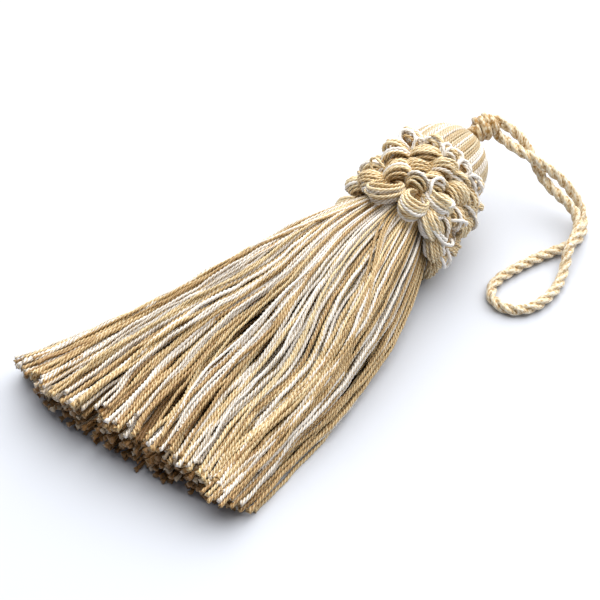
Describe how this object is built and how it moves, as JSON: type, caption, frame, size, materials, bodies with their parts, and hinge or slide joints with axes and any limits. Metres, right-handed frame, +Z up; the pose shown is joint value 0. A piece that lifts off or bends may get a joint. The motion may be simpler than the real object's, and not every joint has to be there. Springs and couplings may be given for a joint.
{
  "type": "yarn tassel with a looped ruff and a hanging cord",
  "caption": "Cut-yarn tassel lying on its side: fanned skirt, looped ruff, wound egg-shaped head, knot and a twisted hanging cord ending in a loop.",
  "frame": {"origin": "middle of the flat spot under the ruff, on the surface that the tassel lies on", "axes": "+Z up, +X from the cut end of the skirt towards the head and knot, +Y to the side away from the cord's loop"},
  "size_m": [0.1215, 0.0722, 0.0283],
  "materials": {
    "skirt_yarn": "silky plied yarn, gold with ivory yarns among it",
    "ruff_yarn": "looped plied yarn, gold and ivory",
    "head_yarn": "fine wound yarn, gold with ivory bands",
    "knot_yarn": "twisted cord, beige gold",
    "hanging_cord": "twisted cord, beige gold"
  },
  "bodies": {
    "root": {"skirt": "skirt_yarn", "ruff": "ruff_yarn", "head": "head_yarn", "knot": "knot_yarn", "cord": "hanging_cord"}
  },
  "joints": []
}
